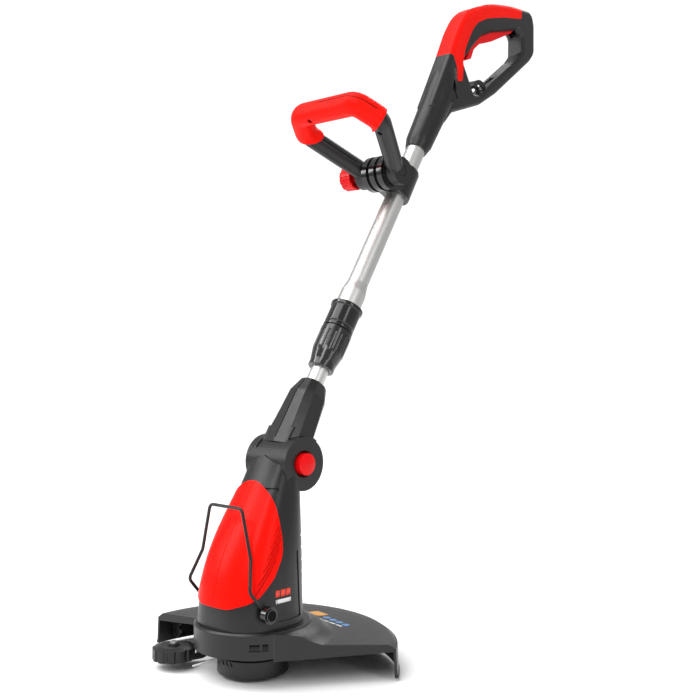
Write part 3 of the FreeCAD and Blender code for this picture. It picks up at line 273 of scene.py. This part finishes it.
def metals():
    """Settings of every metal, by name: where the metal has lines, the brush scale is small along them."""
    return {
        "aluminium": dict(colour=(0.66, 0.655, 0.64), roughness=0.40, brush_scale=(2600, 2600, 9),
                          turn=(SHAFT_TILT, 0, 0)),
        "steel": dict(colour=(0.56, 0.56, 0.57), roughness=0.28, brush_scale=(900, 900, 900)),
        "laminated_steel": dict(colour=(0.30, 0.30, 0.31), roughness=0.45, brush_scale=(60, 60, 2400)),
        "copper": dict(colour=(0.80, 0.42, 0.24), roughness=0.30, brush_scale=(300, 300, 2000)),
        "brass": dict(colour=(0.83, 0.60, 0.26), roughness=0.26, brush_scale=(1800, 1800, 1800)),
    }


def make_materials():
    """Every material, by name."""
    made = {name: moulded_plastic(name, **settings) for name, settings in plastics().items()}
    made.update({name: brushed_metal(name, **settings) for name, settings in metals().items()})
    made["nylon"] = nylon_material("nylon")
    return made


MATERIALS = make_materials()

# CAD nodes with a finish of their own, used in place of their slot in the record
OWN_FINISH = {"lock_sleeve": "sleeve_black", "tilt_button": "dark_red_plastic"}


def finish_cad_nodes():
    """Gives every CAD node its material, a small rounded edge and smooth shading."""
    for entry in frame["record"]["subparts"]:
        node = nodes[entry["node"]]
        node.data.materials.clear()
        node.data.materials.append(MATERIALS[OWN_FINISH.get(entry["node"], entry["material_slot"])])
        soften(node)


def soften(piece):
    """Joins split vertices, rounds the sharp edges and shades the rest smoothly."""
    weld = piece.modifiers.new("weld", "WELD")
    weld.merge_threshold = 1e-6
    bevel = piece.modifiers.new("bevel", "BEVEL")
    bevel.width = EDGE_WIDTH
    bevel.segments = EDGE_SEGMENTS
    bevel.limit_method = "ANGLE"
    bevel.angle_limit = EDGE_ANGLE
    bevel.use_clamp_overlap = True
    bevel.harden_normals = False
    normals = piece.modifiers.new("normals", "WEIGHTED_NORMAL")
    normals.keep_sharp = True
    normals.weight = 60


# Studio

def add_camera():
    """Level camera at the height and heading of the picture."""
    data = bpy.data.cameras.new("camera")
    data.lens = CAMERA_LENS
    data.sensor_width = 36.0
    data.clip_end = 50.0
    camera = bpy.data.objects.new("camera", data)
    camera.location = CAMERA_PLACE
    camera.rotation_euler = (math.radians(90), 0, CAMERA_HEADING)
    bpy.context.scene.collection.objects.link(camera)
    bpy.context.scene.camera = camera


def add_daylight():
    """White world that is brighter as a backdrop than as a light, and a broad sun from above."""
    world = bpy.data.worlds.new("studio")
    world.use_nodes = True
    tree = world.node_tree
    background = tree.nodes["Background"]
    background.inputs["Color"].default_value = (1.0, 1.0, 1.0, 1.0)
    path = tree.nodes.new("ShaderNodeLightPath")
    level = tree.nodes.new("ShaderNodeMapRange")
    level.inputs["To Min"].default_value = DAYLIGHT_ON_OBJECT
    level.inputs["To Max"].default_value = DAYLIGHT_SEEN
    tree.links.new(path.outputs["Is Camera Ray"], level.inputs["Value"])
    tree.links.new(level.outputs["Result"], background.inputs["Strength"])
    bpy.context.scene.world = world

    data = bpy.data.lights.new("overhead", "SUN")
    data.energy = SUN_STRENGTH
    data.angle = SUN_SPREAD
    sun = bpy.data.objects.new("overhead", data)
    sun.rotation_euler = SUN_TURN
    bpy.context.scene.collection.objects.link(sun)


def add_lamps():
    """Soft rectangular lamps round the object."""
    for name, place, target, size, power in LAMPS:
        data = bpy.data.lights.new(name, "AREA")
        data.shape = "RECTANGLE"
        data.size, data.size_y = size
        data.energy = power
        lamp = bpy.data.objects.new(name, data)
        lamp.location = place
        aim = Vector(target) - Vector(place)
        lamp.rotation_euler = aim.to_track_quat("-Z", "Y").to_euler()
        bpy.context.scene.collection.objects.link(lamp)


def ring(build, radius):
    """Vertices of a floor circle of that radius."""
    angles = [2 * math.pi * side / FLOOR_SIDES for side in range(FLOOR_SIDES)]
    return [build.verts.new((radius * math.cos(a), radius * math.sin(a), FLOOR_HEIGHT)) for a in angles]


def add_floor():
    """Plain pale disc under the object that ends well outside the picture's subject."""
    build = bmesh.new()
    rings = [ring(build, radius) for radius in FLOOR_RADII]
    build.faces.new(rings[0])
    for inner, outer in zip(rings, rings[1:]):
        for side in range(FLOOR_SIDES):
            following = (side + 1) % FLOOR_SIDES
            build.faces.new((inner[side], outer[side], outer[following], inner[following]))
    mesh = bpy.data.meshes.new("floor")
    build.to_mesh(mesh)
    build.free()
    material, tree, shader, coordinates = new_material("paper")
    fibres = noise(tree, coordinates, 60.0, 5.0)
    pale = mix_colour(tree, remap(tree, fibres, 0, 1), (0.93, 0.93, 0.93), (0.95, 0.95, 0.95))
    tree.links.new(pale, shader.inputs["Base Color"])
    shader.inputs["Roughness"].default_value = 0.9
    mesh.materials.append(material)
    floor = bpy.data.objects.new("floor", mesh)
    bpy.context.scene.collection.objects.link(floor)


# Surface patches: thin labels and raised marks that follow the CAD surface under them

def surface_point(targets, start, direction):
    """Nearest hit of the ray on the target nodes, as (place, normal), or None."""
    graph = bpy.context.evaluated_depsgraph_get()
    best = None
    for name in targets:
        hit, place, normal, _ = nodes[name].ray_cast(start, direction, depsgraph=graph)
        if hit and (best is None or (place - start).length < (best[0] - start).length):
            best = (place.copy(), normal.copy())
    return best


def patch(name, body, slot, targets, grid, centre, right, up, lift=0.25 * MM):
    """Closed thin plate over the targets: grid holds rows of (u, v) in metres along right and up."""
    right, up = Vector(right).normalized(), Vector(up).normalized()
    outward = right.cross(up)
    build = bmesh.new()
    top, bottom = [], []
    for row in grid:
        top_row, bottom_row = [], []
        for u, v in row:
            start = Vector(centre) + right * u + up * v + outward * PATCH_REACH
            found = surface_point(targets, start, -outward)
            if found is None:
                raise RuntimeError("patch " + name + " misses its surface")
            place, normal = found
            if normal.dot(outward) < 0:
                normal = -normal
            top_row.append(build.verts.new(place + normal * lift))
            bottom_row.append(build.verts.new(place - normal * PATCH_DEPTH))
        top.append(top_row)
        bottom.append(bottom_row)
    for rows, flip in ((top, False), (bottom, True)):
        for low, high in zip(rows, rows[1:]):
            for index in range(len(low) - 1):
                corners = [low[index], low[index + 1], high[index + 1], high[index]]
                build.faces.new(corners[::-1] if flip else corners)
    upper, lower = border(top), border(bottom)
    for index in range(len(upper)):
        following = (index + 1) % len(upper)
        build.faces.new((upper[following], upper[index], lower[index], lower[following]))
    return finish_piece(name, build, body, slot)


def border(grid):
    """The grid's outermost vertices, in order round it."""
    right = [row[-1] for row in grid[1:]]
    left = [row[0] for row in grid[-2:0:-1]]
    return grid[0] + right + grid[-1][-2::-1] + left


def finish_piece(name, build, body, slot):
    """Turns a bmesh into a piece with the slot's material that rides on the body."""
    bmesh.ops.recalc_face_normals(build, faces=build.faces)
    mesh = bpy.data.meshes.new(name)
    build.to_mesh(mesh)
    build.free()
    for face in mesh.polygons:
        face.use_smooth = True
    mesh.materials.append(MATERIALS[slot])
    piece = bpy.data.objects.new(name, mesh)
    bpy.context.scene.collection.objects.link(piece)
    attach(piece, body)
    return piece


def rectangle(width, height, columns, rows, slant=0.0):
    """Grid of a rectangle round the origin, leaning to the right by the slant."""
    grid = []
    for row in range(rows + 1):
        v = height * (row / rows - 0.5)
        steps = [column / columns - 0.5 for column in range(columns + 1)]
        grid.append([(width * step + slant * v, v) for step in steps])
    return grid


def disc(radius):
    """Grid of a disc round the origin: a square's rows bent out to the circle."""
    steps = 6
    grid = []
    for row in range(steps + 1):
        b = 2 * row / steps - 1
        line = []
        for column in range(steps + 1):
            a = 2 * column / steps - 1
            line.append((radius * a * math.sqrt(1 - b * b / 2), radius * b * math.sqrt(1 - a * a / 2)))
        grid.append(line)
    return grid


def chevron(width, height, stroke):
    """A < mark: two strokes that meet at the left."""
    rows = 12
    grid = []
    for row in range(rows + 1):
        v = height * (row / rows - 0.5)
        tip = width * abs(v) / (height / 2)
        grid.append([(tip, v), (tip + stroke / 2, v), (tip + stroke, v)])
    return grid


def placed(grid, x, y, turn=0.0):
    """The grid turned by the angle, then moved by x and y millimetres."""
    cosine, sine = math.cos(turn), math.sin(turn)
    x, y = x * MM, y * MM
    return [[(x + u * cosine - v * sine, y + u * sine + v * cosine) for u, v in row] for row in grid]


def housing_label():
    """Plain label on both sides of the housing: three short red blocks over a pale bar."""
    block = rectangle(6.2 * MM, 7.0 * MM, 4, 3, slant=0.1)
    bar = rectangle(22.0 * MM, 4.2 * MM, 8, 2)
    for side, word in ((1, "left"), (-1, "right")):
        for index in (-1, 0, 1):
            housing_patch(f"housing_label_block_{word}_{index + 1}", "label_red", side,
                          placed(block, 7.6 * index, 4.2))
        housing_patch(f"housing_label_bar_{word}", "label_white", side, placed(bar, 0, -4.0))


def housing_patch(name, slot, side, grid):
    """Patch on the housing's +X side for 1, or on its -X side for -1."""
    y, z = HOUSING_LABEL_YZ
    centre = Vector((side * HOUSING_LABEL_X, y, z)) * MM
    patch(name, "head", slot, ["motor_housing_left", "motor_housing_right"], grid, centre,
          (0, side, 0), (0, 0, 1))


def guard_label():
    """Plain label on the guard: an orange block, four blue discs and four pale bars."""
    block = rectangle(22 * MM, 15 * MM, 8, 5)
    bar = rectangle(9 * MM, 3.6 * MM, 4, 2)
    guard_patch("guard_label_block", "label_orange", placed(block, -6, 107, -0.15))
    for index in range(4):
        guard_patch(f"guard_label_disc_{index}", "label_blue",
                    placed(disc(4.6 * MM), 15 + 12 * index, 100 - 2.2 * index))
        guard_patch(f"guard_label_bar_{index}", "label_white",
                    placed(bar, 14 + 11.5 * index, 88.5 - 1.2 * index, -0.08))


def guard_patch(name, slot, grid):
    """Patch on the guard's top, with the grid along X and Y."""
    centre = Vector((0, 0, GUARD_TOP_Z)) * MM
    patch(name, "head", slot, ["guard_shield"], grid, centre, (1, 0, 0), (0, 1, 0))


def spool_marks():
    """Three raised chevrons round the upper edge of the spool, twice."""
    mark = chevron(2.6 * MM, 7.5 * MM, 2.0 * MM)
    for turn in (0, 1):
        for index in range(3):
            angle = math.radians(-99 + 8.5 * index + 180 * turn)
            outward = Vector((math.cos(angle), math.sin(angle), 0))
            sideways = Vector((-math.sin(angle), math.cos(angle), 0))
            centre = (outward * CHEVRON_RADIUS + Vector((0, 0, CHEVRON_Z))) * MM
            patch(f"spool_chevron_{turn}_{index}", "rotor", "dark_plastic", ["spool_housing"], mark, centre,
                  sideways, (0, 0, 1), lift=0.8 * MM)


def wire_knob_painted_shade():
    """Dark disc on the middle of the wire guard knob's outer face: painted shade, standing in for the
    shadow inside a hollow knob.
    """
    patch("wire_knob_painted_shade", "wire_guard", "seam", ["wire_guard_knob"], disc(5.6 * MM),
          WIRE_KNOB_FACE * MM, (0, 1, 0), (0, 0, 1))


def strip(name, body, slot, targets, points, outwards, width, lift=0.2 * MM):
    """Thin line that follows the CAD surface: points in metres, one outward direction for each."""
    rows = []
    for index, point in enumerate(points):
        outward = outwards[index].normalized()
        along = points[min(index + 1, len(points) - 1)] - points[max(index - 1, 0)]
        across = along.cross(outward).normalized() * (width / 2)
        starts = [point + across * shift + outward * STRIP_REACH for shift in (-1, 0, 1)]
        hits = [surface_point(targets, place, -outward) for place in starts]
        row = [hit[0] for hit in hits if hit is not None and (hit[0] - point).length < STRIP_STRAY]
        if len(row) == len(starts):
            upper = [place + outward * lift for place in row]
            lower = [place - outward * lift for place in row[::-1]]
            rows.append(upper + lower)
    build = bmesh.new()
    loops = [[build.verts.new(place) for place in row] for row in rows]
    for low, high in zip(loops, loops[1:]):
        for index in range(len(low)):
            following = (index + 1) % len(low)
            build.faces.new((low[index], low[following], high[following], high[index]))
    build.faces.new(loops[0])
    build.faces.new(loops[-1][::-1])
    return finish_piece(name, build, body, slot)


def between(start, end, count):
    """Evenly spaced points from start to end."""
    return [start.lerp(end, index / (count - 1)) for index in range(count)]


def arm_seam(name, corners, outwards, targets):
    """Seam through the corners, given in the loop handle's own frame in millimetres."""
    turn = ARM_FRAME.to_3x3()
    spots, directions = [], []
    for index in range(len(corners) - 1):
        spots += between(Vector(corners[index]), Vector(corners[index + 1]), ARM_SEAM_STEPS)[:-1]
        directions += between(Vector(outwards[index]), Vector(outwards[index + 1]), ARM_SEAM_STEPS)[:-1]
    points = [ARM_FRAME @ (spot * MM) for spot in spots]
    outward = [turn @ direction for direction in directions]
    strip(name, "assist_handle", "seam", targets, points, outward, width=0.9 * MM)


def assist_seams():
    """Parting line on the outside of the grip's +X half, and one on the inner side of each arm."""
    halves = ["assist_handle_upper", "assist_handle_lower"]
    arm_seam("assist_grip_seam", [(-6, 131, 0), (40, 131, 0), (57, 121, 0), (68, 101, 0)],
             [(0, 1, 0), (0.05, 1, 0), (0.7, 0.7, 0), (0.888, 0.459, 0)], ["assist_grip"])
    arm_seam("assist_arm_seam_left", [(-47, 80, 0), (-21, 22, 0)], [(0.913, 0.408, 0)] * 2, halves)
    arm_seam("assist_arm_seam_right", [(66, 76, 0), (38, 14, 0)], [(0.913, -0.408, 0)] * 2, halves)


def neck_seam():
    """Parting line down the neck's front ridge."""
    outward = SHAFT_FRAME.to_3x3() @ Vector((0, -1, 0.1))
    spots = between(NECK_SEAM_TOP, NECK_SEAM_FOOT, NECK_SEAM_STEPS)
    points = [SHAFT_FRAME @ (spot * MM) for spot in spots]
    strip("neck_seam", "lower_shaft", "seam", ["neck_left", "neck_right"], points,
          [outward] * len(points), width=1.0 * MM, lift=0.3 * MM)


def cover_lines():
    """Soft shadow lines in the cover's slanted grooves, on both sides."""
    slope = Vector((0, math.cos(COVER_LINE_SLOPE), math.sin(COVER_LINE_SLOPE)))
    y, z = COVER_LINE_YZ
    for side, word in ((1, "left"), (-1, "right")):
        for index in range(COVER_LINE_COUNT):
            low = Vector((side * COVER_LINE_SIDE, y, z)) + COVER_LINE_GAP * index
            points = [(low + slope * reach) * MM for reach in COVER_LINE_REACH]
            strip(f"cover_line_{word}_{index}", "head", "red_shadow", ["front_cover"], points,
                  [Vector((side, 0, 0))] * len(points), width=1.3 * MM, lift=0.3 * MM)


def add_details():
    """All the thin pieces that lie on the CAD surfaces."""
    housing_label()
    guard_label()
    spool_marks()
    wire_knob_painted_shade()
    assist_seams()
    neck_seam()
    cover_lines()


bpy.context.scene.view_settings.view_transform = "Standard"
add_camera()
add_daylight()
add_lamps()
add_floor()
finish_cad_nodes()
add_details()
